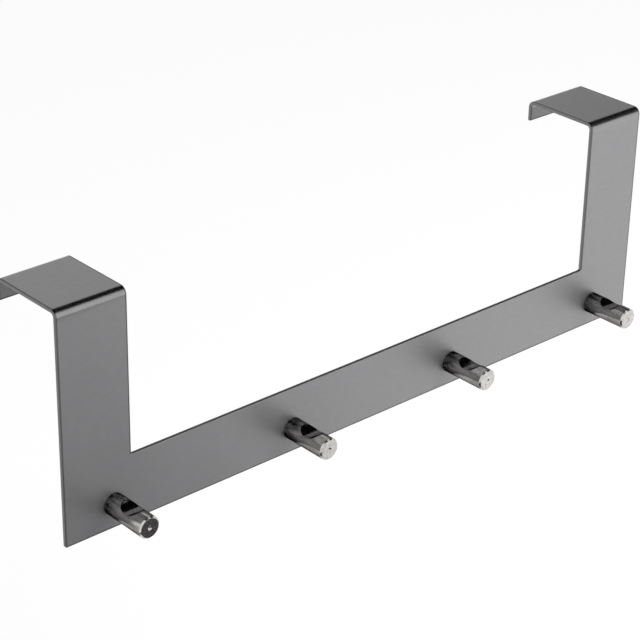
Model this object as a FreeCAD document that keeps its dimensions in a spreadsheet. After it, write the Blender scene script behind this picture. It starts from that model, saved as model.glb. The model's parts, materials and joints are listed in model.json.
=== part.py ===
import FreeCAD, Part
import math
import os

import Sketcher

# Over-door hook rail. One steel sheet is cut to a wide U, a bar with an upright at
# each end, and both uprights are folded back over the top of the door and down again
# into a short lip behind it. A row of turned pegs stands out of the bar. Each peg
# has a saddle across its upper side that keeps a hanger in place, and a countersunk
# screw from the door side holds it.
#
# Frame: +Z up, +X along the bar, the pegs point to -Y and the door lies on the +Y side.
# The origin is on the face that lies against the door, midway along the row of pegs.

SIZES = [
    ("bar_length", 400, "whole length of the bar"),
    ("bar_height", 37, "height of the bar between the uprights"),
    ("upright_width", 40, "width of each upright and of its strap"),
    ("overall_height", 126.5, "from the bar's lower edge to the top of the straps"),
    ("sheet_thickness", 2, "thickness of the folded sheet"),
    ("inner_bend_radius", 2, "radius inside each fold"),
    ("door_space", 44, "clear width between the bar and the lips"),
    ("lip_drop", 12, "height of the lip, from the top of the strap"),
    ("outer_corner_radius", 0.8, "rounding of the sheet's outer corners"),
    ("window_corner_radius", 1, "rounding where the uprights meet the bar"),
    ("edge_break", 0.25, "bevel along the sheet's cut edges"),
    ("peg_count", 4, "number of pegs"),
    ("peg_inset", 29, "from each end of the bar to the axis of its nearest peg"),
    ("peg_rise", 13.5, "from the bar's lower edge to the axes of the pegs"),
    ("peg_diameter", 12, "diameter of each peg"),
    ("peg_length", 28.5, "length of each peg, from the sheet to its end"),
    ("peg_end_chamfer", 0.8, "chamfer round the end face"),
    ("centre_mark_diameter", 2.4, "width of the turning mark in the end face"),
    ("centre_mark_depth", 0.7, "depth of the turning mark"),
    ("saddle_radius", 9, "radius of the cutter that makes the saddle"),
    ("saddle_depth", 2.8, "depth of the saddle below the top of the peg"),
    ("saddle_distance", 15.4, "from the sheet to the middle of the saddle"),
    ("saddle_edge_break", 0.2, "bevel along the rim of the saddle"),
    ("thread_diameter", 4, "outside diameter of the screw's thread"),
    ("thread_clearance", 0.05, "between the screw and the threaded hole, on the radius"),
    ("thread_lead_in", 0.4, "widening at the mouth of the threaded hole, on the radius"),
    ("tip_clearance", 1.5, "depth of the threaded hole beyond the screw's tip"),
    ("drill_point_angle", 118, "angle of the drill point"),
    ("shank_clearance", 0.2, "between the screw and the sheet, on the radius"),
    ("screw_length", 10, "length of the screw with its head"),
    ("screw_tip_chamfer", 0.5, "chamfer at the tip of the screw"),
    ("head_diameter", 7.5, "diameter of the countersunk head"),
    ("head_rim", 0.1, "height of the straight rim round the head"),
    ("head_angle", 90, "angle of the head's cone"),
    ("socket_width", 2.5, "width across the flats of the socket in the head"),
    ("socket_depth", 1.2, "depth of the socket"),
]

# Formulas that more than one piece follows
PEG_ROW_LENGTH = "Sizes.bar_length - 2 * Sizes.peg_inset"
FIRST_PEG_X = "Sizes.peg_inset - Sizes.bar_length / 2"
HEAD_CONE_SLOPE = "tan(Sizes.head_angle * 1deg / 2)"

# Diameters at the mouth of a peg's threaded hole: its own lead-in, and the head's cone,
# which reaches the peg where the sheet is thin
LEAD_IN = "Sizes.thread_diameter + 2 * Sizes.thread_lead_in"
HEAD_AT_SEAT = ("Sizes.head_diameter"
                f" - 2 * (Sizes.sheet_thickness - Sizes.head_rim) * {HEAD_CONE_SLOPE}")

TOUCH = 1e-6


def make_sizes(doc):
    """The sheet of driving sizes: a name, its value in millimetres or degrees, and a note."""
    sheet = doc.addObject("Spreadsheet::Sheet", "Sizes")
    for row, (name, value, note) in enumerate(SIZES, start=1):
        sheet.set(f"A{row}", name)
        sheet.set(f"B{row}", str(value))
        sheet.setAlias(f"B{row}", name)
        sheet.set(f"C{row}", note)
    doc.recompute()
    return sheet


def make_body(doc, label):
    body = doc.addObject("PartDesign::Body", label)
    body.Label = label
    return body


def make_sketch(body, name, plane):
    """A sketch on one of the body's own origin planes."""
    sketch = body.newObject("Sketcher::SketchObject", name)
    support = next(item for item in body.Origin.OriginFeatures if item.Role == plane)
    sketch.AttachmentSupport = (support, [""])
    sketch.MapMode = "FlatFace"
    return sketch


def make_feature(body, kind, name, profile=None, **settings):
    """A feature of the body, with its settings, that becomes the body's tip."""
    feature = body.newObject(f"PartDesign::{kind}", name)
    if profile is not None:
        feature.Profile = profile
    for key, value in settings.items():
        setattr(feature, key, value)
    body.Tip = feature
    return feature


def constrain(sketch, kind, *elements):
    return sketch.addConstraint(Sketcher.Constraint(kind, *elements))


def dimension(sketch, name, formula, kind, *elements):
    """A dimension of the sketch, tied to a formula over the sizes."""
    value = float(sketch.evalExpression(formula))
    index = constrain(sketch, kind, *elements, value)
    sketch.renameConstraint(index, name)
    sketch.setExpression(f"Constraints.{name}", formula)


def draw_outline(sketch, corners):
    """Closed outline of straight lines, from corner to corner. Lines that start
    level or upright are held so."""
    points = [FreeCAD.Vector(x, y, 0) for x, y in corners]
    count = len(points)
    for index in range(count):
        start, end = points[index], points[(index + 1) % count]
        sketch.addGeometry(Part.LineSegment(start, end))
        if abs(start.y - end.y) < TOUCH:
            constrain(sketch, "Horizontal", index)
        elif abs(start.x - end.x) < TOUCH:
            constrain(sketch, "Vertical", index)
    for index in range(count):
        constrain(sketch, "Coincident", index, 2, (index + 1) % count, 1)


def draw_line(sketch, start, end):
    return sketch.addGeometry(
        Part.LineSegment(FreeCAD.Vector(*start, 0), FreeCAD.Vector(*end, 0))
    )


def draw_circle(sketch, centre, radius):
    return sketch.addGeometry(
        Part.Circle(FreeCAD.Vector(*centre, 0), FreeCAD.Vector(0, 0, 1), radius)
    )


def draw_quarter(sketch, centre, radius, first_degrees):
    """A quarter of a circle, anticlockwise from the first angle: its point 1 is there."""
    circle = Part.Circle(FreeCAD.Vector(*centre, 0), FreeCAD.Vector(0, 0, 1), radius)
    first = math.radians(first_degrees)
    return sketch.addGeometry(Part.ArcOfCircle(circle, first, first + math.pi / 2))


def edge_names(shape, wanted):
    """Names of the shape's edges that the test picks."""
    return [f"Edge{number}" for number, edge in enumerate(shape.Edges, start=1) if wanted(edge)]


def runs_along(edge, axis):
    """Whether the edge is straight and parallel to the axis."""
    if not isinstance(edge.Curve, Part.Line):
        return False
    return edge.Curve.Direction.cross(axis).Length < TOUCH


def round_edges(body, name, edges, formula):
    """Rounds the named edges of the body's last feature."""
    fillet = make_feature(body, "Fillet", name, Base=(body.Tip, edges))
    fillet.setExpression("Radius", formula)
    body.Document.recompute()


def bevel_edges(body, name, edges, formula):
    """Bevels the named edges of the body's last feature at 45 degrees."""
    chamfer = make_feature(body, "Chamfer", name, Base=(body.Tip, edges))
    chamfer.setExpression("Size", formula)
    body.Document.recompute()


def check_cut(body, volume_before):
    """Stops if the body's last feature took nothing away from it."""
    body.Document.recompute()
    if body.Shape.Volume >= volume_before:
        raise RuntimeError(f"{body.Tip.Label} cuts nothing out of {body.Label}")


def draw_fold(sketch, size):
    """Section of the folded sheet across the door: up the front, over the top and
    down the lip. Both arcs of a fold have one centre, so the sheet keeps its thickness."""
    inner = size.inner_bend_radius
    outer = inner + size.sheet_thickness
    bottom = -size.peg_rise
    top = bottom + size.overall_height
    under = top - size.sheet_thickness
    lip_end = top - size.lip_drop
    front_bend = (inner, top - outer)
    back_bend = (size.door_space - inner, top - outer)
    front_y = -size.sheet_thickness
    back_y = size.door_space + size.sheet_thickness

    front = draw_line(sketch, (front_y, bottom), (front_y, front_bend[1]))
    front_outer = draw_quarter(sketch, front_bend, outer, 90)
    strap_top = draw_line(sketch, (front_bend[0], top), (back_bend[0], top))
    back_outer = draw_quarter(sketch, back_bend, outer, 0)
    lip_back = draw_line(sketch, (back_y, back_bend[1]), (back_y, lip_end))
    lip_foot = draw_line(sketch, (back_y, lip_end), (size.door_space, lip_end))
    lip_face = draw_line(sketch, (size.door_space, lip_end), (size.door_space, back_bend[1]))
    back_inner = draw_quarter(sketch, back_bend, inner, 0)
    strap_under = draw_line(sketch, (back_bend[0], under), (front_bend[0], under))
    front_inner = draw_quarter(sketch, front_bend, inner, 90)
    door_face = draw_line(sketch, (0, front_bend[1]), (0, bottom))
    foot = draw_line(sketch, (0, bottom), (front_y, bottom))

    for first, first_end, second, second_end in (
        (front, 2, front_outer, 2),
        (front_outer, 1, strap_top, 1),
        (strap_top, 2, back_outer, 2),
        (back_outer, 1, lip_back, 1),
        (lip_face, 2, back_inner, 1),
        (back_inner, 2, strap_under, 1),
        (strap_under, 2, front_inner, 1),
        (front_inner, 2, door_face, 1),
    ):
        constrain(sketch, "Tangent", first, first_end, second, second_end)
    for first, second in ((lip_back, lip_foot), (lip_foot, lip_face),
                          (door_face, foot), (foot, front)):
        constrain(sketch, "Coincident", first, 2, second, 1)
    for upright in (front, lip_back, lip_face, door_face):
        constrain(sketch, "Vertical", upright)
    for level in (strap_top, lip_foot, strap_under, foot):
        constrain(sketch, "Horizontal", level)
    constrain(sketch, "Coincident", front_outer, 3, front_inner, 3)
    constrain(sketch, "Coincident", back_outer, 3, back_inner, 3)
    constrain(sketch, "Equal", front_inner, back_inner)
    constrain(sketch, "PointOnObject", door_face, 2, -2)
    dimension(sketch, "bend", "Sizes.inner_bend_radius", "Radius", front_inner)
    dimension(sketch, "thickness", "Sizes.sheet_thickness", "DistanceX", front, 1, door_face, 2)
    dimension(sketch, "below_pegs", "Sizes.peg_rise", "DistanceY", foot, 1, -1, 1)
    dimension(sketch, "height", "Sizes.overall_height", "DistanceY", front, 1, strap_top, 1)
    dimension(sketch, "door", "Sizes.door_space", "DistanceX", door_face, 2, lip_face, 1)
    dimension(sketch, "lip", "Sizes.lip_drop", "DistanceY", lip_back, 2, strap_top, 2)


def make_hanger_plate(doc, size):
    """The folded sheet: its section is drawn out along the bar, the window between
    the uprights is cut, then the screw holes, and every cut edge is eased."""
    body = make_body(doc, "hanger_plate")
    bottom = -size.peg_rise
    bar_top = bottom + size.bar_height
    top = bottom + size.overall_height

    fold = make_sketch(body, "fold_section", "YZ_Plane")
    draw_fold(fold, size)
    pad = make_feature(body, "Pad", "folded_sheet", fold, SideType="Symmetric")
    pad.setExpression("Length", "Sizes.bar_length")
    doc.recompute()

    window = make_sketch(body, "window_outline", "XZ_Plane")
    half = size.bar_length / 2 - size.upright_width
    draw_outline(window, [(-half, bar_top), (half, bar_top), (half, top), (-half, top)])
    dimension(window, "left", "Sizes.bar_length / 2 - Sizes.upright_width",
              "DistanceX", 0, 1, -1, 1)
    dimension(window, "width", "Sizes.bar_length - 2 * Sizes.upright_width",
              "DistanceX", 0, 1, 0, 2)
    dimension(window, "sill", "Sizes.bar_height - Sizes.peg_rise", "DistanceY", -1, 1, 0, 1)
    dimension(window, "height", "Sizes.overall_height - Sizes.bar_height",
              "DistanceY", 1, 1, 1, 2)
    make_feature(body, "Pocket", "window", window, Type="ThroughAll", SideType="Symmetric")
    doc.recompute()

    across = FreeCAD.Vector(0, 1, 0)
    at_window = edge_names(
        body.Shape,
        lambda edge: runs_along(edge, across) and abs(edge.CenterOfMass.z - bar_top) < TOUCH,
    )
    round_edges(body, "window_corners", at_window, "Sizes.window_corner_radius")
    at_corners = edge_names(
        body.Shape,
        lambda edge: runs_along(edge, across)
        and abs(edge.Length - size.sheet_thickness) < TOUCH
        and (edge.CenterOfMass.z < bottom + TOUCH or edge.CenterOfMass.y > size.door_space),
    )
    round_edges(body, "outer_corners", at_corners, "Sizes.outer_corner_radius")

    # Each skin of the sheet now has one smooth outline, which its lower edge leads into
    along = FreeCAD.Vector(1, 0, 0)
    lower_edges = edge_names(
        body.Shape,
        lambda edge: runs_along(edge, along) and edge.CenterOfMass.z < bottom + TOUCH,
    )
    bevel_edges(body, "eased_edges", lower_edges, "Sizes.edge_break")

    hole_centre = make_sketch(body, "first_screw_axis", "XZ_Plane")
    draw_circle(hole_centre, (size.peg_inset - size.bar_length / 2, 0), size.thread_diameter / 2)
    constrain(hole_centre, "PointOnObject", 0, 3, -1)
    dimension(hole_centre, "inset", "Sizes.bar_length / 2 - Sizes.peg_inset",
              "DistanceX", 0, 3, -1, 1)
    dimension(hole_centre, "across", "Sizes.thread_diameter", "Diameter", 0)
    doc.recompute()
    before = body.Shape.Volume
    hole = make_feature(body, "Hole", "screw_hole", hole_centre)
    doc.recompute()
    hole.DepthType = "ThroughAll"
    hole.Reversed = True
    hole.HoleCutType = "Countersink"
    hole.setExpression("Diameter", "Sizes.thread_diameter + 2 * Sizes.shank_clearance")
    hole.setExpression("HoleCutCountersinkAngle", "Sizes.head_angle * 1deg")
    hole.setExpression("HoleCutDiameter",
                       f"Sizes.head_diameter + 2 * Sizes.head_rim * {HEAD_CONE_SLOPE}")
    check_cut(body, before)

    row = make_feature(body, "LinearPattern", "screw_holes", Originals=[hole],
                       Direction=(hole_centre, ["H_Axis"]))
    row.setExpression("Length", PEG_ROW_LENGTH)
    row.setExpression("Occurrences", "Sizes.peg_count")
    doc.recompute()
    return body


def rim_edges(shape, saddle_radius):
    """Edges where the saddle's cylinder meets the outside of the peg."""
    faces = [
        face for face in shape.Faces
        if isinstance(face.Surface, Part.Cylinder)
        and abs(face.Surface.Radius - saddle_radius) < TOUCH
    ]
    return edge_names(
        shape, lambda edge: any(edge.isSame(side) for face in faces for side in face.Edges)
    )


def make_peg(doc, size, index):
    """One turned peg. Its own axis is Y, and its seat on the sheet is at its own origin."""
    body = make_body(doc, f"peg_{index + 1}")
    radius, length, chamfer = size.peg_diameter / 2, size.peg_length, size.peg_end_chamfer
    mark_radius, mark_depth = size.centre_mark_diameter / 2, size.centre_mark_depth

    outline = make_sketch(body, "turned_outline", "YZ_Plane")
    draw_outline(outline, [
        (0, 0), (0, radius), (chamfer - length, radius), (-length, radius - chamfer),
        (-length, mark_radius), (mark_depth - length, 0),
    ])
    constrain(outline, "Coincident", 0, 1, -1, 1)
    dimension(outline, "radius", "Sizes.peg_diameter / 2", "DistanceY", 0, 1, 0, 2)
    dimension(outline, "length", "Sizes.peg_length", "DistanceX", 3, 1, -1, 1)
    dimension(outline, "chamfer_run", "Sizes.peg_end_chamfer", "DistanceX", 3, 1, 2, 1)
    dimension(outline, "chamfer_rise", "Sizes.peg_end_chamfer", "DistanceY", 3, 1, 2, 1)
    dimension(outline, "mark_radius", "Sizes.centre_mark_diameter / 2", "DistanceY", 5, 1, 4, 1)
    dimension(outline, "mark_depth", "Sizes.centre_mark_depth", "DistanceX", 4, 1, 5, 1)
    make_feature(body, "Revolution", "turned_rod", outline,
                 ReferenceAxis=(outline, ["H_Axis"]), Angle=360)
    doc.recompute()

    saddle = make_sketch(body, "saddle_circle", "YZ_Plane")
    lift = radius - size.saddle_depth + size.saddle_radius
    draw_circle(saddle, (-size.saddle_distance, lift), size.saddle_radius)
    dimension(saddle, "radius", "Sizes.saddle_radius", "Radius", 0)
    dimension(saddle, "distance", "Sizes.saddle_distance", "DistanceX", 0, 3, -1, 1)
    dimension(saddle, "lift", "Sizes.peg_diameter / 2 - Sizes.saddle_depth + Sizes.saddle_radius",
              "DistanceY", -1, 1, 0, 3)
    before = body.Shape.Volume
    make_feature(body, "Pocket", "saddle", saddle, Type="ThroughAll", SideType="Symmetric")
    check_cut(body, before)
    rim = rim_edges(body.Shape, size.saddle_radius)
    bevel_edges(body, "saddle_rim", rim, "Sizes.saddle_edge_break")

    axis = make_sketch(body, "screw_axis", "XZ_Plane")
    draw_circle(axis, (0, 0), size.thread_diameter / 2)
    constrain(axis, "Coincident", 0, 3, -1, 1)
    dimension(axis, "across", "Sizes.thread_diameter", "Diameter", 0)
    doc.recompute()
    before = body.Shape.Volume
    hole = make_feature(body, "Hole", "threaded_hole", axis)
    doc.recompute()
    hole.DepthType = "Dimension"
    hole.Reversed = True
    hole.DrillPoint = "Angled"
    hole.HoleCutType = "Countersink"
    hole.setExpression("Diameter", "Sizes.thread_diameter + 2 * Sizes.thread_clearance")
    hole.setExpression("Depth", "Sizes.screw_length - Sizes.sheet_thickness + Sizes.tip_clearance")
    hole.setExpression("DrillPointAngle", "Sizes.drill_point_angle * 1deg")
    hole.setExpression("HoleCutCountersinkAngle", "Sizes.head_angle * 1deg")
    hole.setExpression("HoleCutDiameter",
                       f"2 * Sizes.thread_clearance + max({LEAD_IN}; {HEAD_AT_SEAT})")
    check_cut(body, before)

    step = f"({PEG_ROW_LENGTH}) / (Sizes.peg_count - 1)"
    body.setExpression(".Placement.Base.x", f"{FIRST_PEG_X} + {index} * {step}")
    body.setExpression(".Placement.Base.y", "-Sizes.sheet_thickness")
    return body


def make_peg_screws(doc, size):
    """The countersunk screws, one behind each peg, with their heads flush with the
    sheet's door side. Their threads are plain cylinders."""
    body = make_body(doc, "peg_screws")
    body.AllowCompound = True
    head, shank = size.head_diameter / 2, size.thread_diameter / 2
    slope = float(body.evalExpression(HEAD_CONE_SLOPE))
    cone_end = -size.head_rim - (head - shank) / slope
    length, tip = size.screw_length, size.screw_tip_chamfer

    outline = make_sketch(body, "screw_outline", "YZ_Plane")
    draw_outline(outline, [
        (0, 0), (0, head), (-size.head_rim, head), (cone_end, shank),
        (tip - length, shank), (-length, shank - tip), (-length, 0),
    ])
    constrain(outline, "Coincident", 0, 1, -1, 1)
    dimension(outline, "head", "Sizes.head_diameter / 2", "DistanceY", 0, 1, 0, 2)
    dimension(outline, "rim", "Sizes.head_rim", "DistanceX", 2, 1, 0, 2)
    dimension(outline, "shank", "Sizes.thread_diameter / 2", "DistanceY", 0, 1, 3, 1)
    dimension(outline, "cone",
              f"(Sizes.head_diameter - Sizes.thread_diameter) / 2 / {HEAD_CONE_SLOPE}",
              "DistanceX", 3, 1, 2, 1)
    dimension(outline, "length", "Sizes.screw_length", "DistanceX", 5, 1, -1, 1)
    dimension(outline, "tip_run", "Sizes.screw_tip_chamfer", "DistanceX", 5, 1, 4, 1)
    dimension(outline, "tip_rise", "Sizes.screw_tip_chamfer", "DistanceY", 5, 1, 4, 1)
    turned = make_feature(body, "Revolution", "turned_screw", outline,
                          ReferenceAxis=(outline, ["H_Axis"]), Angle=360)
    doc.recompute()

    socket = make_sketch(body, "socket_outline", "XZ_Plane")
    flat = size.socket_width / 2
    side = float(body.evalExpression("Sizes.socket_width / 2 / cos(30deg)"))
    draw_outline(socket, [
        (side, 0), (side / 2, flat), (-side / 2, flat),
        (-side, 0), (-side / 2, -flat), (side / 2, -flat),
    ])
    ring = draw_circle(socket, (0, 0), side)
    socket.toggleConstruction(ring)
    constrain(socket, "Coincident", ring, 3, -1, 1)
    for corner in range(6):
        constrain(socket, "PointOnObject", corner, 1, ring)
    for line in (0, 2, 3):
        constrain(socket, "Equal", 1, line)
    dimension(socket, "across_flats", "Sizes.socket_width", "DistanceY", 4, 1, 2, 1)
    before = body.Shape.Volume
    recess = make_feature(body, "Pocket", "socket", socket, Type="Length", Reversed=True)
    recess.setExpression("Length", "Sizes.socket_depth")
    check_cut(body, before)

    row = make_feature(body, "LinearPattern", "screw_row", Originals=[turned, recess],
                       Direction=(socket, ["H_Axis"]))
    row.setExpression("Length", PEG_ROW_LENGTH)
    row.setExpression("Occurrences", "Sizes.peg_count")
    body.setExpression(".Placement.Base.x", FIRST_PEG_X)
    return body


def check_document(doc, nodes):
    """Stops if any object failed to build or any piece is not a valid solid."""
    for item in doc.Objects:
        if {"Invalid", "Error"} & set(item.State):
            raise RuntimeError(f"{item.Label} did not build")
    for node in nodes:
        if node.Shape.isNull() or not node.Shape.isValid() or not node.Shape.Solids:
            raise RuntimeError(f"{node.Label} is not a valid solid")


def main():
    doc = FreeCAD.newDocument("over_door_hook")
    size = make_sizes(doc)
    nodes = [make_hanger_plate(doc, size)]
    nodes += [make_peg(doc, size, index) for index in range(int(size.peg_count))]
    nodes.append(make_peg_screws(doc, size))
    doc.recompute()
    check_document(doc, nodes)
    os.makedirs("parts", exist_ok=True)
    for node in nodes:
        node.Shape.exportStep(f"parts/{node.Label}.step")
        box = node.Shape.BoundBox
        print(f"{node.Label}: {len(node.Shape.Solids)} solid(s), {node.Shape.Volume:.1f} mm3, "
              f"x {box.XMin:.2f} to {box.XMax:.2f}, y {box.YMin:.2f} to {box.YMax:.2f}, "
              f"z {box.ZMin:.2f} to {box.ZMax:.2f}")


main()
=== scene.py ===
import json
import math
from functools import partial

import bmesh
import bpy
import numpy as np
from mathutils import Matrix, Vector

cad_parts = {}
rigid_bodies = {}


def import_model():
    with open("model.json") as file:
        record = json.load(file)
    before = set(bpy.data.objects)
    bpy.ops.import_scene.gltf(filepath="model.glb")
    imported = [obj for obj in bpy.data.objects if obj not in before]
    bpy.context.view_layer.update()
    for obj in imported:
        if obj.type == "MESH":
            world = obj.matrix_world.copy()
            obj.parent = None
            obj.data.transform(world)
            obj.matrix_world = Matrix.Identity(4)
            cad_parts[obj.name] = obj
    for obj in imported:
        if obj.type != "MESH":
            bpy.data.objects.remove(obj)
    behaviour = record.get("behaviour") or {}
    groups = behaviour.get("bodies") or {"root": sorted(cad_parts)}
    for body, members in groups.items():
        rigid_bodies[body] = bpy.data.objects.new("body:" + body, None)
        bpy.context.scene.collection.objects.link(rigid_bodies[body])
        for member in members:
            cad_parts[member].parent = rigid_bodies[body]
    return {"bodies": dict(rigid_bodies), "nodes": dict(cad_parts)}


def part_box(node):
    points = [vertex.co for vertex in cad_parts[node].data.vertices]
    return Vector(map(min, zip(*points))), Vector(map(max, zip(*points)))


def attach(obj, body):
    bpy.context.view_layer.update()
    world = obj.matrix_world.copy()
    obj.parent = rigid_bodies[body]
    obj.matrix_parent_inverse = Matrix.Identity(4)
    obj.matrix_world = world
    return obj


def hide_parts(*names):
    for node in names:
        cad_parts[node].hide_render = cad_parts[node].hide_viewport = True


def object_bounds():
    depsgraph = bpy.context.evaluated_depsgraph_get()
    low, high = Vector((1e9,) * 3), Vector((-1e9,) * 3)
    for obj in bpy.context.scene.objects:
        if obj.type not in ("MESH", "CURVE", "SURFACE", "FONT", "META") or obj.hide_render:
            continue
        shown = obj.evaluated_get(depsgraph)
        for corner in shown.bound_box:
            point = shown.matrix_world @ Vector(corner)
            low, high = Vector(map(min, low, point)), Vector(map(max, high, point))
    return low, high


bl_info = {
    "name": "Over-door hook rail",
    "version": (1, 0, 0),
    "blender": (4, 5, 0),
    "location": "3D View > Sidebar > Hook Rail",
    "description": "Builds a folded steel rail with turned pegs, its finishes and a studio around it",
    "category": "Add Mesh",
}

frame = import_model()

CAD_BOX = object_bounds()
BODY = next(iter(frame["bodies"]))
PLATE_NODE = "hanger_plate"
SCREW_NODE = "peg_screws"
PEG_NODES = sorted(name for name in frame["nodes"] if name.startswith("peg_") and name != SCREW_NODE)

# Points closer than this are one, and edges turning by more than this stay sharp.
MERGE_DISTANCE = 2e-6
SHARP_ANGLE = math.radians(30)
# What two equal lengths may differ by after rounding.
ROUNDING = 1e-9
# The square of the sheet around each screw hole: half its side, and the cells along it.
SQUARE_HALF = 0.006
SQUARE_CELLS = 8


# The settings of each piece and of the studio.


def length(name, description, default):
    """A length setting, shown in the scene's own unit."""
    return bpy.props.FloatProperty(name=name, description=description, default=default, min=0,
                                   unit="LENGTH", precision=5)


def colour(name, description, default):
    return bpy.props.FloatVectorProperty(name=name, description=description, default=default,
                                         size=3, min=0, max=1, subtype="COLOR")


def share(name, description, default, top=1.0):
    return bpy.props.FloatProperty(name=name, description=description, default=default,
                                   min=0, max=top, subtype="FACTOR")


class HookRailSheetSettings(bpy.types.PropertyGroup):
    """The folded sheet."""
    thickness: length("Thickness", "Thickness of the sheet", 0.002)
    bar_height: length("Bar height", "Height of the bar between the uprights", 0.037)
    upright_width: length("Upright width", "Width of each upright and of its strap", 0.040)
    lip_drop: length("Lip drop", "Height of the lip, from the top of the strap", 0.012)
    bend_radius: length("Bend radius", "Radius inside each fold", 0.002)
    corner_radius: length("Corner radius", "Rounding of the outer corners", 0.0008)
    window_radius: length("Window radius", "Rounding where an upright meets the bar", 0.001)
    edge_radius: length("Edge radius", "Easing along every cut edge", 0.00025)
    hole_diameter: length("Screw hole", "Diameter of the screw holes", 0.0044)
    sink_diameter: length("Countersink", "Diameter of the countersinks on the door side", 0.0077)
    face_colour: colour("Face", "Colour of the satin faces", (0.354, 0.351, 0.358))
    # The border is a band of painted shade along the cut edges.
    border_width: length("Border", "Width of the deburred border along the outline", 0.0011)
    edge_colour: colour("Cut edge", "Colour of the torn part of a cut edge", (0.05, 0.049, 0.05))
    sheared_colour: colour("Sheared edge", "Colour of the smooth part of a cut edge", (0.33, 0.33, 0.34))
    roughness: share("Roughness", "Roughness of the satin faces", 0.50)


class HookRailPegSettings(bpy.types.PropertyGroup):
    """The turned pegs."""
    saddle_radius: length("Saddle radius", "Radius of the saddle along the peg", 0.009)
    saddle_depth: length("Saddle depth", "Depth of the saddle below the top of the peg", 0.0028)
    saddle_distance: length("Saddle distance", "From the sheet to the middle of the saddle", 0.0154)
    end_chamfer: length("End chamfer", "Chamfer round the end face", 0.0008)
    mark_diameter: length("Centre mark", "Diameter of the turning mark in the end face", 0.0024)
    mark_depth: length("Mark depth", "Depth of the turning mark", 0.0007)
    hole_diameter: length("Threaded hole", "Diameter of the blind hole for the screw", 0.0041)
    hole_depth: length("Hole depth", "Depth of the blind hole", 0.0095)
    drill_point: length("Drill point", "Depth of the cone at the bottom of the blind hole", 0.0012)
    lead_in: length("Lead-in", "Widening at the mouth of the blind hole, on the radius", 0.0004)
    edge_radius: length("Edge radius", "Easing of every turned edge", 0.0001)
    colour: colour("Rod", "Colour of the polished rod", (0.42, 0.409, 0.40))
    end_colour: colour("End", "Colour of the faced end and its chamfer", (0.60, 0.585, 0.56))
    roughness: share("Roughness", "Roughness of the polished rod", 0.12)
    end_roughness: share("End roughness", "Roughness of the faced end and its chamfer", 0.2)


class HookRailScrewSettings(bpy.types.PropertyGroup):
    """The countersunk screws on the door side."""
    colour: colour("Steel", "Colour of the screws", (0.50, 0.50, 0.51))
    roughness: share("Roughness", "Roughness of the screws", 0.28)


class HookRailStudioSettings(bpy.types.PropertyGroup):
    """The floor, the light and the camera."""
    floor_drop: length("Floor", "From the object's lowest point to the floor", 0.30)
    floor_colour: colour("Floor colour", "Colour of the floor", (0.93, 0.93, 0.93))
    floor_white: share("Floor white", "How much of the floor shows as plain white", 0.8)
    dome_light: share("Dome light", "Light of the surroundings on matt surfaces", 0.72, top=4.0)
    key_power: bpy.props.FloatProperty(name="Key light", description="Power of the large lamp",
                                       default=35.0, min=0, unit="POWER")
    target: bpy.props.FloatVectorProperty(name="Target", description="Point at the frame's middle",
                                          default=(-0.0395012, -0.002, 0.0567591),
                                          size=3, subtype="XYZ", unit="LENGTH")
    azimuth: bpy.props.FloatProperty(name="Azimuth", description="Turn of the camera round the object",
                                     default=math.radians(-41.945), unit="ROTATION")
    elevation: bpy.props.FloatProperty(name="Elevation", description="Height of the camera as an angle",
                                       default=math.radians(26.9754), unit="ROTATION")
    roll: bpy.props.FloatProperty(name="Roll", description="Turn of the camera about its own axis",
                                  default=math.radians(1.0382), unit="ROTATION")
    distance: length("Distance", "From the target to the camera", 1.0733587)
    lens: bpy.props.FloatProperty(name="Lens", description="Focal length on a 36 mm sensor",
                                  default=118.904, min=1, unit="CAMERA")


# The surfaces.


def stations(*runs):
    """Every coordinate in the runs, once each and in order."""
    return np.unique(np.round(np.concatenate([np.atleast_1d(run) for run in runs]), 8))


def grid_faces(rows, columns, closed):
    """Quads over a grid of rows and columns, as indices into the flattened grid. A closed
    grid joins its last column to its first."""
    index = np.arange(rows * columns).reshape(rows, columns)
    following = np.roll(index, -1, axis=1) if closed else index[:, 1:]
    index = index if closed else index[:, :-1]
    quads = np.stack([index[:-1], index[1:], following[1:], following[:-1]], axis=-1)
    return quads.reshape(-1, 4)


def make_piece(name, points, faces, materials, face_materials=None, values=None):
    """A smooth piece from points and quads, with its seams and poles closed and its edges
    sharp past the sharp angle. The values become attributes of the points."""
    mesh = bpy.data.meshes.new(name)
    mesh.from_pydata(points.reshape(-1, 3), [], faces.tolist())
    for attribute, numbers in (values or {}).items():
        layer = mesh.attributes.new(attribute, "FLOAT", "POINT")
        layer.data.foreach_set("value", np.ravel(numbers).astype(np.float32))
    for material in materials:
        mesh.materials.append(material)
    if face_materials is not None:
        mesh.polygons.foreach_set("material_index", face_materials)
    shell = bmesh.new()
    shell.from_mesh(mesh)
    bmesh.ops.remove_doubles(shell, verts=shell.verts, dist=MERGE_DISTANCE)
    bmesh.ops.dissolve_degenerate(shell, edges=shell.edges, dist=MERGE_DISTANCE / 2)
    shell.to_mesh(mesh)
    shell.free()
    mesh.shade_smooth()
    mesh.set_sharp_from_angle(angle=SHARP_ANGLE)
    piece = bpy.data.objects.new(name, mesh)
    bpy.context.scene.collection.objects.link(piece)
    return piece


def quarter_round(radius, steps=4):
    """Insets from an edge at which a quarter circle of that radius is sampled evenly."""
    return radius * (1 - np.cos(np.linspace(0, math.pi / 2, steps + 1)))


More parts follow.
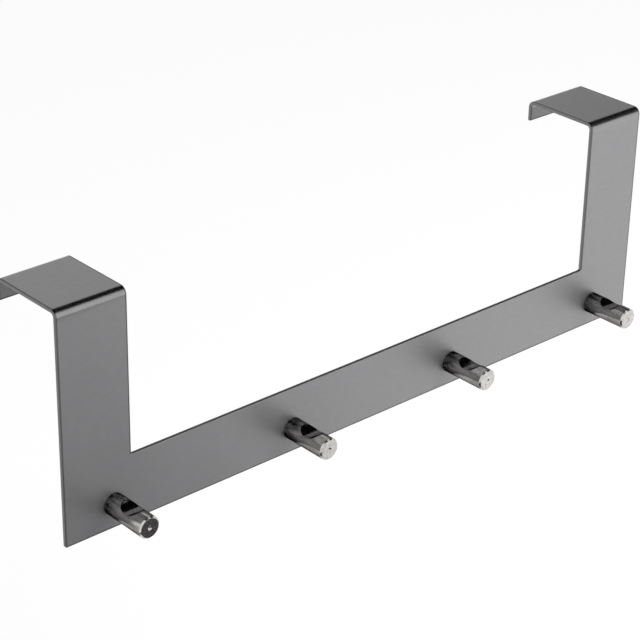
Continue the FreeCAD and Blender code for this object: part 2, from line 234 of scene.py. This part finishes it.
class FlatPattern:
    """The sheet before it is folded. Across runs along the bar from its middle, up runs
    along the skin that faces the door, from the bar's foot over the straps to the lips,
    and out is the height above that skin."""

    def __init__(self, settings, low, high):
        self.settings = settings
        self.low, self.high = low, high
        self.half = (high.x - low.x) / 2
        self.window = self.half - settings.upright_width
        self.sill = settings.bar_height
        bend, thickness = settings.bend_radius, settings.thickness
        self.front = high.z - low.z - thickness - bend
        self.strap = high.y - thickness - 2 * bend
        self.lip = settings.lip_drop - thickness - bend
        self.fold = bend * math.pi / 2
        self.run = self.front + self.strap + self.lip + 2 * self.fold
        # Stations in from a cut edge, in from an outer corner, and from beside a corner of
        # the window out over the sheet that follows it.
        self.near_edge = np.append(quarter_round(settings.edge_radius), settings.border_width)
        self.near_corner = np.linspace(0, settings.corner_radius, 5)
        self.near_window = np.append(np.linspace(-1, 0, 5), [0.75, 1.4, 2]) * settings.window_radius
        self.square = np.linspace(-SQUARE_HALF, SQUARE_HALF, SQUARE_CELLS + 1)

    def fold_up(self, across, up, out):
        """Folds flat points into place. Along the sheet the skin turns twice by a right
        angle about a circle of the bend radius, so with a and b the two turns so far:
        y = R(1 - cos a) + strap + R sin b and z = front + R sin a - R(1 - cos b) - lip.
        A point out of the skin moves along its normal (-cos(a + b), sin(a + b))."""
        bend = self.settings.bend_radius
        front = np.minimum(up, self.front)
        first = np.clip((up - self.front) / bend, 0, math.pi / 2)
        strap = np.clip(up - self.front - self.fold, 0, self.strap)
        second = np.clip((up - self.front - self.fold - self.strap) / bend, 0, math.pi / 2)
        lip = np.maximum(up - self.run + self.lip, 0)
        y = bend * (1 - np.cos(first)) + strap + bend * np.sin(second)
        z = self.low.z + front + bend * np.sin(first) - bend * (1 - np.cos(second)) - lip
        turn = first + second
        middle = (self.low.x + self.high.x) / 2
        return np.stack([middle + across, y - out * np.cos(turn), z + out * np.sin(turn)], axis=-1)

    def columns(self, peg_offsets):
        """Stations along the bar: the holes' squares, the window's edges and the ends."""
        half = np.concatenate([self.half - self.near_edge, self.half - self.near_corner,
                               self.window + self.near_edge, self.window + self.near_corner,
                               self.window + self.near_window])
        return stations(half, -half, *(offset + self.square for offset in peg_offsets))

    def rows(self, peg_height):
        """Stations up the sheet: the holes' squares, the sill, both folds and the ends."""
        turn = np.concatenate([[-0.6, -0.1], np.linspace(0, 1, 21), [1.1, 1.3]]) * self.fold
        return stations(self.near_edge, self.near_corner, peg_height + self.square,
                        self.sill - self.near_edge, self.sill - self.near_window,
                        self.front + turn, self.front + self.fold + self.strap + turn,
                        self.run - self.near_edge, self.run - self.near_corner)

    def folded(self, up):
        """1 in each fold and 0 elsewhere. With d the distance from the strap in lengths of
        a fold, it rises over d = 0.05 to 0.2 and falls again over d = 0.9 to 1.3."""
        strap_start = self.front + self.fold
        strap_end = strap_start + self.strap
        distance = np.maximum(strap_start - up, up - strap_end) / self.fold
        return np.interp(distance, [0.05, 0.2, 0.9, 1.3], [0, 1, 1, 0])

    def insets(self, across, up):
        """Distances from the nearest cut that runs up the sheet, from the nearest of the
        sheet's two ends and from the sill, which cuts the sheet between the uprights."""
        beside = np.abs(across)
        past_window = np.maximum(beside - self.window, 0)
        to_side = np.where(up > self.sill, past_window, np.inf)
        to_sill = np.hypot(past_window, np.maximum(self.sill - up, 0))
        return np.minimum(self.half - beside, to_side), np.minimum(up, self.run - up), to_sill

    def easing(self, inset):
        """How far the skins draw in near a cut edge, r - sqrt(r² - (r - d)²) at the
        distance d from the outline, which makes each edge a quarter circle."""
        radius = self.settings.edge_radius
        reach = radius - np.clip(inset, 0, radius)
        return radius - np.sqrt(radius**2 - reach**2)

    def shape_corners(self, across, up):
        """Rounds the outline's corners. At an outer corner a square patch becomes a quarter
        disc by u' = u sqrt(1 - v²/2), v' = v sqrt(1 - u²/2). At a window corner the
        outline moves onto a quarter circle, and the sheet around it follows less and less."""
        size = self.settings
        beside = np.abs(across)
        side = np.where(across < 0, -1.0, 1.0)
        radius = size.corner_radius
        for from_side, outward in ((self.half - beside, 1), (beside - self.window, -1)):
            for from_end, upward in ((up, -1), (self.run - up, 1)):
                if outward < 0 and upward < 0:
                    continue
                patch = (from_side >= 0) & (from_side < radius) & (from_end >= 0) & (from_end < radius)
                u = np.where(patch, 1 - from_side / radius, 0)
                v = np.where(patch, 1 - from_end / radius, 0)
                beside = beside + outward * radius * (u * np.sqrt(1 - v**2 / 2) - u)
                up = up + upward * radius * (v * np.sqrt(1 - u**2 / 2) - v)
        radius = size.window_radius
        right, below = beside - self.window, self.sill - up
        fade = (np.clip(1 - np.maximum(right, 0) / (2 * radius), 0, 1)
                * np.clip(1 - np.maximum(below, 0) / (2 * radius), 0, 1)) ** 2
        along = np.clip(np.where(below >= 0, -right, -below), 0, radius)
        turn = (1 - along / radius) * math.pi / 4
        slide = fade * (radius * (np.sin(turn) - 1) + along)
        rise = fade * radius * (np.cos(turn) - 1)
        beside = beside + np.where(below >= 0, slide, rise)
        up = up - np.where(below >= 0, rise, slide)
        return side * beside, up


def outline_walls(solid, front, back):
    """Quads between the two skins along the outline of the solid cells. Front and back hold
    the index of each grid point in its skin."""
    padded = np.pad(solid, 1)
    left, right = padded[1:-1, :-1], padded[1:-1, 1:]
    lower, upper = padded[:-1, 1:-1], padded[1:, 1:-1]
    walls = []
    for edge, (row_step, column_step), turned in (
        (left & ~right, (1, 0), False), (right & ~left, (1, 0), True),
        (lower & ~upper, (0, 1), True), (upper & ~lower, (0, 1), False),
    ):
        row, column = np.nonzero(edge)
        start, end = (row, column), (row + row_step, column + column_step)
        wall = np.stack([back[start], back[end], front[end], front[start]], axis=-1)
        walls.append(wall[:, ::-1] if turned else wall)
    return np.concatenate(walls)


def sheet_surface(settings, low, high, pegs):
    """Points, quads, each quad's material and the points' values of the folded sheet: two
    skins over a grid with the window and the holes' squares left out, walls along the
    outline between them, and a countersunk hole in each square. All of it is made flat,
    then folded. The value "border" falls from 1 at a cut edge, apart from the sill, to 0
    at the border's width. "Folded" is 1 in the folds, "side_cut" is 1 on the cuts that run
    up the sheet, and "depth" is 0 on the door side and 1 on the front."""
    pattern = FlatPattern(settings, low, high)
    middle = (low.x + high.x) / 2
    offsets = np.array([centre.x - middle for centre in pegs])
    peg_height = pegs[0].z - low.z
    columns, rows = pattern.columns(offsets), pattern.rows(peg_height)
    across, up = np.meshgrid(columns, rows)
    to_side, to_end, to_sill = pattern.insets(across, up)
    easing = pattern.easing(np.minimum.reduce([to_side, to_end, to_sill]))
    border = 1 - np.clip(np.minimum(to_side, to_end) / settings.border_width, 0, 1)
    folded = pattern.folded(up)
    side_cut = (to_side <= to_sill) & (to_side < to_end)
    across, up = pattern.shape_corners(across, up)
    front_skin = pattern.fold_up(across, up, settings.thickness - easing)
    back_skin = pattern.fold_up(across, up, easing)

    cell_across = (columns[1:] + columns[:-1])[None, :] / 2
    cell_up = (rows[1:] + rows[:-1])[:, None] / 2
    solid = (np.abs(cell_across) > pattern.window) | (cell_up < pattern.sill)
    to_hole = np.abs(cell_across[..., None] - offsets).min(axis=-1)
    in_square = (to_hole < SQUARE_HALF) & (np.abs(cell_up - peg_height) < SQUARE_HALF)
    kept = solid & ~in_square

    front = np.arange(across.size).reshape(across.shape)
    back = front + across.size
    start, end = slice(None, -1), slice(1, None)
    corners = (start, start), (start, end), (end, end), (end, start)
    front_faces = np.stack([front[corner][kept] for corner in corners], axis=-1)
    back_faces = np.stack([back[corner][kept] for corner in reversed(corners)], axis=-1)
    walls = outline_walls(solid, front, back)
    holes, hole_faces = screw_holes(pattern, offsets, peg_height)
    points = np.concatenate([front_skin.reshape(-1, 3), back_skin.reshape(-1, 3), holes])
    faces = np.concatenate([front_faces, back_faces, walls, hole_faces + 2 * across.size])

    cut_edge_slot = 1
    materials = np.zeros(len(faces), np.int32)
    materials[len(front_faces) + len(back_faces):][:len(walls)] = cut_edge_slot
    no_value = np.zeros(len(holes))
    values = {
        name: np.concatenate([on_front.ravel(), on_back.ravel(), no_value])
        for name, on_front, on_back in (
            ("border", border, border), ("folded", folded, folded), ("side_cut", side_cut, side_cut),
            ("depth", np.ones(across.size), np.zeros(across.size)))
    }
    return points, faces, materials, values


def screw_holes(pattern, offsets, height):
    """Countersunk holes, each a ring carried from a square in the back skin to the sink's
    rim, down its cone and through the sheet to a square in the front skin. A ring with
    the weight w lies at (1 - w) square + w circle, on rays from the hole's axis."""
    size = pattern.settings
    step = pattern.square[:-1]
    side = np.full(SQUARE_CELLS, SQUARE_HALF)
    square = np.stack([np.concatenate([step, side, -step, -side]),
                       np.concatenate([-side, step, side, -step])], axis=-1)
    ray = square / np.linalg.norm(square, axis=-1, keepdims=True)
    weight = np.array([0, 0.35, 0.7, 0.93, 1])
    count = len(weight)
    sink, hole = size.sink_diameter / 2, size.hole_diameter / 2
    weights = np.concatenate([weight, [1, 1], weight[-2::-1]])
    radii = np.concatenate([np.full(count, sink), np.full(count + 1, hole)])
    out = np.concatenate([np.zeros(count), [sink - hole], np.full(count, size.thickness)])
    ring = ((1 - weights)[:, None, None] * square
            + (weights * radii)[:, None, None] * ray)
    across = offsets[:, None, None] + ring[None, ..., 0]
    up = np.broadcast_to(height + ring[None, ..., 1], across.shape)
    points = pattern.fold_up(across, up, np.broadcast_to(out[None, :, None], across.shape))
    rings, around = ring.shape[:2]
    faces = grid_faces(rings, around, closed=True)
    starts = np.arange(len(offsets)) * rings * around
    return points.reshape(-1, 3), (faces[None] + starts[:, None, None]).reshape(-1, 4)


def eased_profile(corners, radius, steps=5, beyond=1.7):
    """One block of stations for each inner corner of a profile. A corner C with tangent
    points A and B is the parabola (1 - k)² A + 2k(1 - k) C + k² B, and a station just
    before A and just after B, beyond times the radius from C, keeps the straight runs
    straight."""
    before = corners[1:-1] - corners[:-2]
    after = corners[2:] - corners[1:-1]
    before /= np.linalg.norm(before, axis=-1, keepdims=True)
    after /= np.linalg.norm(after, axis=-1, keepdims=True)
    corner = corners[1:-1, None]
    first, last = corner - radius * before[:, None], corner + radius * after[:, None]
    k = np.linspace(0, 1, steps + 1)[None, :, None]
    curve = (1 - k)**2 * first + 2 * k * (1 - k) * corner + k**2 * last
    return np.concatenate([corner - beyond * radius * before[:, None], curve,
                           corner + beyond * radius * after[:, None]], axis=1)


def peg_surface(settings, low, high):
    """Points, quads, each quad's material and the run along the profile of one peg: its
    profile turned about its axis, with the saddle cut out of its upper side. Where the
    saddle's floor is at the height h over the axis, it cuts a ray at the angle t from the
    top at h / cos t, and the radius there is R - (e + sqrt(e² + w²)) / 2 with
    e = R - h / cos t, which eases the rim over the width w. Near the rim the rays crowd
    together and follow it."""
    radius, reach = (high.x - low.x) / 2, high.y - low.y
    hole, lead = settings.hole_diameter / 2, settings.lead_in
    mark = settings.mark_diameter / 2
    corners = np.array([
        (0, settings.hole_depth + settings.drill_point), (hole, settings.hole_depth), (hole, lead),
        (hole + lead, 0), (radius, 0), (radius, reach - settings.end_chamfer),
        (radius - settings.end_chamfer, reach), (mark, reach), (0, reach - settings.mark_depth),
    ])
    blocks = eased_profile(corners, settings.edge_radius)
    at_door, at_end = blocks[:4], blocks[4:]

    # How many stations lie along the saddle, and how many rays on its floor, at its rim and
    # from there to the bottom of the rod.
    saddle_stations, floor_rays, rim_rays, lower_rays = 41, 10, 8, 31

    # Stations along the rod: evenly turned over the saddle's arc, and a few beside its ends.
    centre = radius - settings.saddle_depth + settings.saddle_radius
    half = math.sqrt(settings.saddle_radius**2 - (centre - radius)**2)
    outside = half + np.array([0.00002, 0.00006, 0.00012, 0.0002, 0.00035, 0.0008])
    inside = half * np.sin(np.linspace(-math.pi / 2, math.pi / 2, saddle_stations))
    along = settings.saddle_distance + np.concatenate([-outside[::-1], inside, outside])
    rod = np.stack([np.full_like(along, radius), along], axis=-1)
    profile = np.concatenate([corners[:1], at_door.reshape(-1, 2), rod,
                              at_end.reshape(-1, 2), corners[-1:]])
    run = np.concatenate([[0], np.cumsum(np.linalg.norm(np.diff(profile, axis=0), axis=-1))])
    on_rod = profile[:, 0] > radius - ROUNDING

    # The rays of each station, from the top down one side and up the other. Crowd is the
    # angle on each side of the rim over which they crowd together.
    from_middle = np.clip(profile[:, 1] - settings.saddle_distance,
                          -settings.saddle_radius, settings.saddle_radius)
    floor = centre - np.sqrt(settings.saddle_radius**2 - from_middle**2)
    rim = np.arccos(np.clip(floor / radius, -1, 1))
    crowd = 0.05
    rim = np.maximum(np.where(on_rod, rim, 0), 2 * crowd)[:, None]
    on_floor = (rim - crowd) * np.linspace(0, 1, floor_rays, endpoint=False)
    at_rim = rim + crowd * np.linspace(-1, 1, rim_rays, endpoint=False)
    below = rim + crowd + (math.pi - rim - crowd) * np.linspace(0, 1, lower_rays)
    angle = np.concatenate([on_floor, at_rim, below], axis=1)
    angle = np.concatenate([angle, 2 * math.pi - angle[:, -2:0:-1]], axis=1)

    # A ray that points level or down doesn't meet the floor, which the least cosine says.
    least_cosine = 1e-3
    excess = radius - floor[:, None] / np.maximum(np.cos(angle), least_cosine)
    width = 2 * settings.edge_radius
    cut = (excess + np.sqrt(excess**2 + width**2)) / 2
    distance = profile[:, :1] - np.where(on_rod[:, None], cut, 0)
    x = (low.x + high.x) / 2 + distance * np.sin(angle)
    y = np.broadcast_to(high.y - profile[:, 1:], x.shape)
    z = (low.z + high.z) / 2 + distance * np.cos(angle)
    points = np.stack([x, y, z], axis=-1)

    # The faced end begins in the middle of the chamfer's outer edge.
    chamfer_start = len(profile) - 1 - at_end[..., 0].size
    faced_from = chamfer_start + at_end.shape[1] // 2 - 1
    materials = np.repeat((np.arange(len(profile) - 1) >= faced_from).astype(np.int32), x.shape[1])
    return points, grid_faces(*x.shape, closed=True), materials, np.broadcast_to(run[:, None], x.shape)


# The finishes.


class Wire:
    """A node's output. Arithmetic on it adds Math nodes, so a mask reads as a formula."""

    def __init__(self, shader, socket):
        self.shader, self.socket = shader, socket

    def math(self, operation, *values, **settings):
        return self.shader.node("ShaderNodeMath", dict(operation=operation, **settings),
                                dict(enumerate(values)))

    def __add__(self, other):
        return self.math("ADD", self, other)

    def __sub__(self, other):
        return self.math("SUBTRACT", self, other)

    def __rsub__(self, other):
        return self.math("SUBTRACT", other, self)

    def __mul__(self, other):
        return self.math("MULTIPLY", self, other)

    __radd__ = __add__
    __rmul__ = __mul__

    def clamp(self):
        return self.math("ADD", self, 0.0, use_clamp=True)

    def ramp(self, start, end):
        """0 up to the start, 1 from the end on, and smooth between them."""
        return self.shader.node("ShaderNodeMapRange", {"interpolation_type": "SMOOTHSTEP"},
                                {"Value": self, "From Min": start, "From Max": end})


class Shader:
    """A material's or the world's nodes, emptied and built up again."""

    def __init__(self, owner, output):
        owner.use_nodes = True
        self.tree = owner.node_tree
        self.tree.nodes.clear()
        self.output = self.tree.nodes.new(output)

    def node(self, kind, settings=None, inputs=None, output=0):
        """Adds a node, sets it up, then fills its sockets with values or wires."""
        node = self.tree.nodes.new(kind)
        for name, value in (settings or {}).items():
            setattr(node, name, value)
        for name, value in (inputs or {}).items():
            if isinstance(value, Wire):
                self.tree.links.new(value.socket, node.inputs[name])
            else:
                node.inputs[name].default_value = value
        return Wire(self, node.outputs[output])

    def finish(self, surface):
        self.tree.links.new(surface.socket, self.output.inputs["Surface"])

    def noise(self, cells, detail=3.0, roughness=0.5):
        """Noise between about -0.5 and 0.5 in the object's own coordinates. Cells is how
        many it has in a metre, one number or one for each axis."""
        coordinates = self.node("ShaderNodeTexCoord", output="Object")
        scaled = self.node("ShaderNodeMapping", {"vector_type": "POINT"},
                           {"Vector": coordinates, "Scale": tuple(np.full(3, cells, float))})
        return self.node("ShaderNodeTexNoise", {"noise_dimensions": "3D"},
                         {"Vector": scaled, "Scale": 1.0, "Detail": detail,
                          "Roughness": roughness}) - 0.5

    def value(self, attribute):
        """A value that the mesh carries on its points."""
        return self.node("ShaderNodeAttribute", {"attribute_name": attribute}, output="Fac")

    def rings(self, cells):
        """Noise that changes only along the run of a turned profile, like the marks of the
        turning tool. Cells is how many it has in a metre."""
        return self.node("ShaderNodeTexNoise", {"noise_dimensions": "1D"},
                         {"W": self.value("profile_run"), "Scale": cells,
                          "Detail": 4.0, "Roughness": 0.7}) - 0.5

    def tint(self, colour, brightness):
        """The colour times one plus the brightness."""
        return self.node("ShaderNodeVectorMath", {"operation": "SCALE"},
                         {"Vector": colour, "Scale": 1 + brightness})

    def blend(self, factor, first, second):
        """The first colour at the factor 0 and the second at 1. The node's colours are its
        sockets 6 and 7, and its output 2."""
        return self.node("ShaderNodeMix", {"data_type": "RGBA"},
                         {"Factor": factor, 6: first, 7: second}, output=2)

    def bump(self, height, distance):
        return self.node("ShaderNodeBump", None, {"Height": height, "Distance": distance})


def metal(name, finish, colour, roughness):
    """A material of metal, whose sockets the finish fills from the colour and roughness."""
    material = bpy.data.materials.new(name)
    material.diffuse_color = (*colour, 1)
    material.metallic, material.roughness = 1, roughness
    shader = Shader(material, "ShaderNodeOutputMaterial")
    inputs = {"Metallic": 1.0, **finish(shader, tuple(colour), roughness)}
    shader.finish(shader.node("ShaderNodeBsdfPrincipled", None, inputs))
    return material


# In each finish below, the number before a noise or a mask says how strongly it shows,
# and the number in a bump is the height of its relief in metres.


def satin_face(shader, colour, roughness):
    """Satin steel: a fine grain along the bar, a faint mottle, broad soft clouds in tone
    and gloss, and painted shade in a darker border along the cut edges. The flat faces are partly
    matt, and the folds are stretched smooth and bare."""
    grain = shader.noise((500, 5000, 5000), detail=2.0)
    mottle = shader.noise((180, 450, 450), detail=2.0)
    clouds = shader.noise(28)
    # Painted shade: border darkens the face along the cut edges, apart from the sill.
    border = shader.value("border").ramp(0.0, 0.5)
    folded = shader.value("folded")
    flat_metal = 0.88
    return {
        "Base Color": shader.tint(colour, 0.07 * clouds + 0.12 * mottle + 0.08 * grain - 0.55 * border),
        "Roughness": roughness + 0.05 * clouds + 0.06 * grain - 0.22 * folded,
        "Metallic": flat_metal + (1 - flat_metal) * folded,
        "Normal": shader.bump(grain, 0.000012),
    }


def cut_edge(shader, colour, roughness, sheared_colour):
    """A sheared edge with short marks across the sheet: a smooth strip on the door side,
    then torn and dark. The torn part is real. That it is darker and deeper on the cuts along the
    bar, above all the sill and the foot, is painted shade; the cuts up the sheet show a wider smooth
    strip and little of the torn metal's colour."""
    marks = shader.noise((3500, 400, 3500), detail=2.0)
    spots = shader.noise(90)
    side_cut = shader.value("side_cut")
    # Painted shade: the cuts along the bar take the dark torn colour over more of their depth than the
    # cuts up the sheet.
    torn = (shader.value("depth") + 0.25 * marks - 0.25 * side_cut).ramp(-0.05, 0.2)
    smooth = shader.tint(sheared_colour, 0.2 * spots)
    rough = shader.tint(colour, 0.5 * marks + 0.3 * spots)
    smoother_than_face = 0.12
    return {
        "Base Color": shader.blend(torn * (1 - 0.75 * side_cut), smooth, rough),
        "Roughness": roughness - smoother_than_face + 0.1 * marks,
        "Normal": shader.bump(marks, 0.00003),
    }


def polished_turning(shader, colour, roughness):
    """Polished turned steel: very fine rings round the axis, dark streaks along it, small
    spots, and painted shade that darkens the rod towards its root, where it stands out of
    the sheet. It mirrors weakly at low angles."""
    fine = shader.rings(9000)
    smears = shader.noise((420, 90, 420), detail=4.0, roughness=0.65)
    spots = shader.noise(1400, detail=2.0)
    # Painted shade: root darkens the rod where it stands out of the sheet, fading out over the first 15
    # mm.
    root = 1 - (shader.value("stand_out") + 0.006 * smears).ramp(0.002, 0.015)
    low_angle_tone = 0.2
    return {
        "Base Color": shader.tint(colour, 2.0 * smears + spots + 0.1 * fine - 0.8 * root),
        "Specular Tint": (low_angle_tone, low_angle_tone, low_angle_tone, 1),
        "Roughness": roughness + 0.05 * smears + 0.05 * fine,
        "Normal": shader.bump(fine, 0.0000025),
    }


def faced_end(shader, colour, roughness):
    """The bright end of a rod, faced on a lathe: fine rings round the axis."""
    rings = shader.rings(5000)
    blotches = shader.noise(800, detail=2.0)
    return {
        "Base Color": shader.tint(colour, 0.5 * rings + 0.9 * blotches),
        "Roughness": roughness + 0.08 * rings + 0.05 * blotches,
        "Normal": shader.bump(rings, 0.000004),
    }


def screw_head(shader, colour, roughness):
    """Plain screw steel: small marks in a mottled grey."""
    marks = shader.noise(2600, detail=2.0)
    mottle = shader.noise(700)
    return {
        "Base Color": shader.tint(colour, 0.25 * mottle + 0.1 * marks),
        "Roughness": roughness + 0.08 * mottle,
        "Normal": shader.bump(marks, 0.000008),
    }


# The studio.


# The large lamp, which points at the frame's origin.
LAMP_PLACE = (0.9, -1.3, 1.2)
LAMP_SIZE = 0.9
# Heights of the cards: over the object, a little above those, just over the floor, and
# under the left peg.
OVERHEAD, ABOVE_OVERHEAD, NEAR_FLOOR, UNDER_PEG = 1.013, 1.033, -0.3115, -0.09
# The outline of the floor, and the tone, height and outline of each card.
FLOOR = ((-6, -6), (6, -6), (6, 6), (-6, 6))
CARDS = {
    "black_card_overhead": ((0.003, 0.003, 0.003), OVERHEAD, (
        (-0.35, -1.3), (0.32, -1.3), (0.48, -0.53), (2.6, -2.36), (2.6, 1.8), (1.4, 1.16),
        (0.75, 0.92), (0.4, 0.6), (-1.0, 0.3), (-1.0, -0.52), (-0.35, -0.52))),
    "grey_card_overhead_right": ((0.88, 0.88, 0.88), ABOVE_OVERHEAD, (
        (0.6, 0.2), (2.9, 0.2), (2.9, 2.6), (0.6, 2.6))),
    "grey_card_overhead_left": ((0.5, 0.5, 0.5), ABOVE_OVERHEAD, (
        (-1.8, 0.2), (0.6, 0.2), (0.6, 2.6), (-1.8, 2.6))),
    "grey_card_below_behind": ((0.6, 0.6, 0.6), NEAR_FLOOR, (
        (-2.2, 0.08), (0.6, 0.08), (0.6, 0.8), (-2.2, 1.8))),
    "grey_card_below_left": ((0.045, 0.042, 0.052), NEAR_FLOOR, (
        (-0.5, -1.3), (0.62, -1.3), (0.14, -0.15), (-0.5, -0.15))),
    "black_card_below_left": ((0.08, 0.075, 0.085), UNDER_PEG, (
        (-0.11, -0.167), (-0.064, -0.167), (-0.064, -0.121), (-0.11, -0.121))),
}


def seen_directly(shader):
    """1 for the rays of the camera, of gloss and through glass, and 0 for the light on
    matt surfaces."""
    kinds = [shader.node("ShaderNodeLightPath", output=name)
             for name in ("Is Camera Ray", "Is Glossy Ray", "Is Transmission Ray")]
    return (kinds[0] + kinds[1] + kinds[2]).clamp()


def make_world(dome_light):
    """White surroundings, of strength 1 where they are seen and of the dome light's
    strength where they light matt surfaces."""
    world = bpy.data.worlds.new("studio_surroundings")
    bpy.context.scene.world = world
    shader = Shader(world, "ShaderNodeOutputWorld")
    seen = seen_directly(shader)
    shader.finish(shader.node("ShaderNodeBackground", None, {
        "Color": (1, 1, 1, 1), "Strength": dome_light + (1 - dome_light) * seen}))


def make_stage_plane(name, height, outline, material):
    """A level shape of the studio, which isn't part of the object."""
    mesh = bpy.data.meshes.new(name)
    mesh.from_pydata([(x, y, height) for x, y in outline], [], [range(len(outline))])
    mesh.materials.append(material)
    plane = bpy.data.objects.new(name, mesh)
    bpy.context.scene.collection.objects.link(plane)
    return plane


def floor_material(colour, white_share):
    """A pale floor that shows as white, and still takes part of the object's shadow."""
    material = bpy.data.materials.new("pale_floor")
    shader = Shader(material, "ShaderNodeOutputMaterial")
    speckle = shader.noise(300)
    matt = shader.node("ShaderNodeBsdfPrincipled", None, {
        "Base Color": shader.tint(tuple(colour), 0.02 * speckle),
        "Roughness": 1.0, "Specular IOR Level": 0.0})
    white = shader.node("ShaderNodeEmission", None, {"Color": (1, 1, 1, 1), "Strength": 1.0})
    shader.finish(shader.node("ShaderNodeMixShader", None,
                              {0: white_share * seen_directly(shader), 1: matt, 2: white}))
    return material


def make_card(name, tone, height, outline):
    """A level card of one even tone, which only polished and satin metal sees."""
    material = bpy.data.materials.new(name)
    shader = Shader(material, "ShaderNodeOutputMaterial")
    shader.finish(shader.node("ShaderNodeEmission", None, {"Color": (*tone, 1), "Strength": 1.0}))
    card = make_stage_plane(name, height, outline, material)
    card.visible_camera = card.visible_diffuse = card.visible_shadow = False


def make_lamp(name, place, size, power):
    """A square lamp that points at the frame's origin. Metal doesn't mirror it."""
    lamp = bpy.data.objects.new(name, bpy.data.lights.new(name, "AREA"))
    lamp.data.size, lamp.data.energy = size, power
    lamp.location = place
    lamp.visible_glossy = False
    lamp.rotation_euler = (-Vector(place)).to_track_quat("-Z", "Y").to_euler()
    bpy.context.scene.collection.objects.link(lamp)


def make_camera(settings):
    """The camera orbits the target by the azimuth and elevation, then rolls."""
    turn, lift = settings.azimuth, settings.elevation
    back = Vector((math.sin(turn) * math.cos(lift), -math.cos(turn) * math.cos(lift), math.sin(lift)))
    right = Vector((math.cos(turn), math.sin(turn), 0))
    axes = Matrix((right, back.cross(right), back)).transposed()
    camera = bpy.data.objects.new("camera", bpy.data.cameras.new("camera"))
    place = Vector(settings.target) + back * settings.distance
    rolled = axes @ Matrix.Rotation(settings.roll, 3, "Z")
    camera.matrix_world = Matrix.Translation(place) @ rolled.to_4x4()
    camera.data.sensor_width, camera.data.lens = 36, settings.lens
    bpy.context.scene.collection.objects.link(camera)
    bpy.context.scene.camera = camera


# The operators and the panel.


class HOOKRAIL_OT_sheet(bpy.types.Operator):
    """Folds the satin sheet, with its window, lips and countersunk holes"""
    bl_idname = "hookrail.sheet"
    bl_label = "Folded sheet"

    def execute(self, context):
        settings = context.scene.hook_rail_sheet
        edge_finish = partial(cut_edge, sheared_colour=tuple(settings.sheared_colour))
        finishes = [
            metal("satin_steel", satin_face, settings.face_colour, settings.roughness),
            metal("cut_edge", edge_finish, settings.edge_colour, settings.roughness),
        ]
        pegs = [sum(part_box(name), Vector()) / 2 for name in PEG_NODES]
        points, faces, face_materials, values = sheet_surface(settings, *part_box(PLATE_NODE), pegs)
        sheet = make_piece("folded_sheet", points, faces, finishes, face_materials, values)
        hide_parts(PLATE_NODE)
        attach(sheet, BODY)
        return {"FINISHED"}


class HOOKRAIL_OT_pegs(bpy.types.Operator):
    """Turns the polished pegs and cuts their saddles"""
    bl_idname = "hookrail.pegs"
    bl_label = "Turned pegs"

    def execute(self, context):
        settings = context.scene.hook_rail_pegs
        finishes = [
            metal("polished_rod", polished_turning, settings.colour, settings.roughness),
            metal("faced_end", faced_end, settings.end_colour, settings.end_roughness),
        ]
        for name in PEG_NODES:
            points, faces, face_materials, run = peg_surface(settings, *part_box(name))
            peg = make_piece(f"turned_{name}", points, faces, finishes, face_materials,
                             {"profile_run": run, "stand_out": -points[..., 1]})
            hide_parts(name)
            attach(peg, BODY)
        return {"FINISHED"}


class HOOKRAIL_OT_screws(bpy.types.Operator):
    """Gives the countersunk screws their finish"""
    bl_idname = "hookrail.screws"
    bl_label = "Screws"

    def execute(self, context):
        settings = context.scene.hook_rail_screws
        finish = metal("screw_steel", screw_head, settings.colour, settings.roughness)
        screws = frame["nodes"][SCREW_NODE]
        screws.data.materials.clear()
        screws.data.materials.append(finish)
        return {"FINISHED"}


class HOOKRAIL_OT_studio(bpy.types.Operator):
    """Sets up the pale floor, the cards, the light and the camera"""
    bl_idname = "hookrail.studio"
    bl_label = "Studio"

    def execute(self, context):
        settings = context.scene.hook_rail_studio
        context.scene.view_settings.view_transform = "Standard"
        floor_height = CAD_BOX[0].z - settings.floor_drop
        floor_finish = floor_material(settings.floor_colour, settings.floor_white)
        make_stage_plane("floor", floor_height, FLOOR, floor_finish)
        for name, (tone, height, outline) in CARDS.items():
            make_card(name, tone, height, outline)
        make_world(settings.dome_light)
        make_lamp("key_light", LAMP_PLACE, LAMP_SIZE, settings.key_power)
        make_camera(settings)
        return {"FINISHED"}


OPERATORS = (HOOKRAIL_OT_sheet, HOOKRAIL_OT_pegs, HOOKRAIL_OT_screws, HOOKRAIL_OT_studio)
SETTINGS = {
    "hook_rail_sheet": HookRailSheetSettings,
    "hook_rail_pegs": HookRailPegSettings,
    "hook_rail_screws": HookRailScrewSettings,
    "hook_rail_studio": HookRailStudioSettings,
}


class HOOKRAIL_PT_panel(bpy.types.Panel):
    """Lists the rail's pieces with their settings"""
    bl_idname = "HOOKRAIL_PT_panel"
    bl_label = "Hook Rail"
    bl_space_type = "VIEW_3D"
    bl_region_type = "UI"
    bl_category = "Hook Rail"

    def draw(self, context):
        for operator, (name, group) in zip(OPERATORS, SETTINGS.items()):
            box = self.layout.box()
            box.operator(operator.bl_idname)
            for setting in group.__annotations__:
                box.prop(getattr(context.scene, name), setting)


def register():
    for item in (*SETTINGS.values(), *OPERATORS, HOOKRAIL_PT_panel):
        bpy.utils.register_class(item)
    for name, group in SETTINGS.items():
        setattr(bpy.types.Scene, name, bpy.props.PointerProperty(type=group))


def unregister():
    for name in SETTINGS:
        delattr(bpy.types.Scene, name)
    for item in reversed((*SETTINGS.values(), *OPERATORS, HOOKRAIL_PT_panel)):
        bpy.utils.unregister_class(item)


def main():
    register()
    bpy.ops.hookrail.sheet()
    bpy.ops.hookrail.pegs()
    bpy.ops.hookrail.screws()
    bpy.ops.hookrail.studio()


if __name__ == "__main__":
    main()
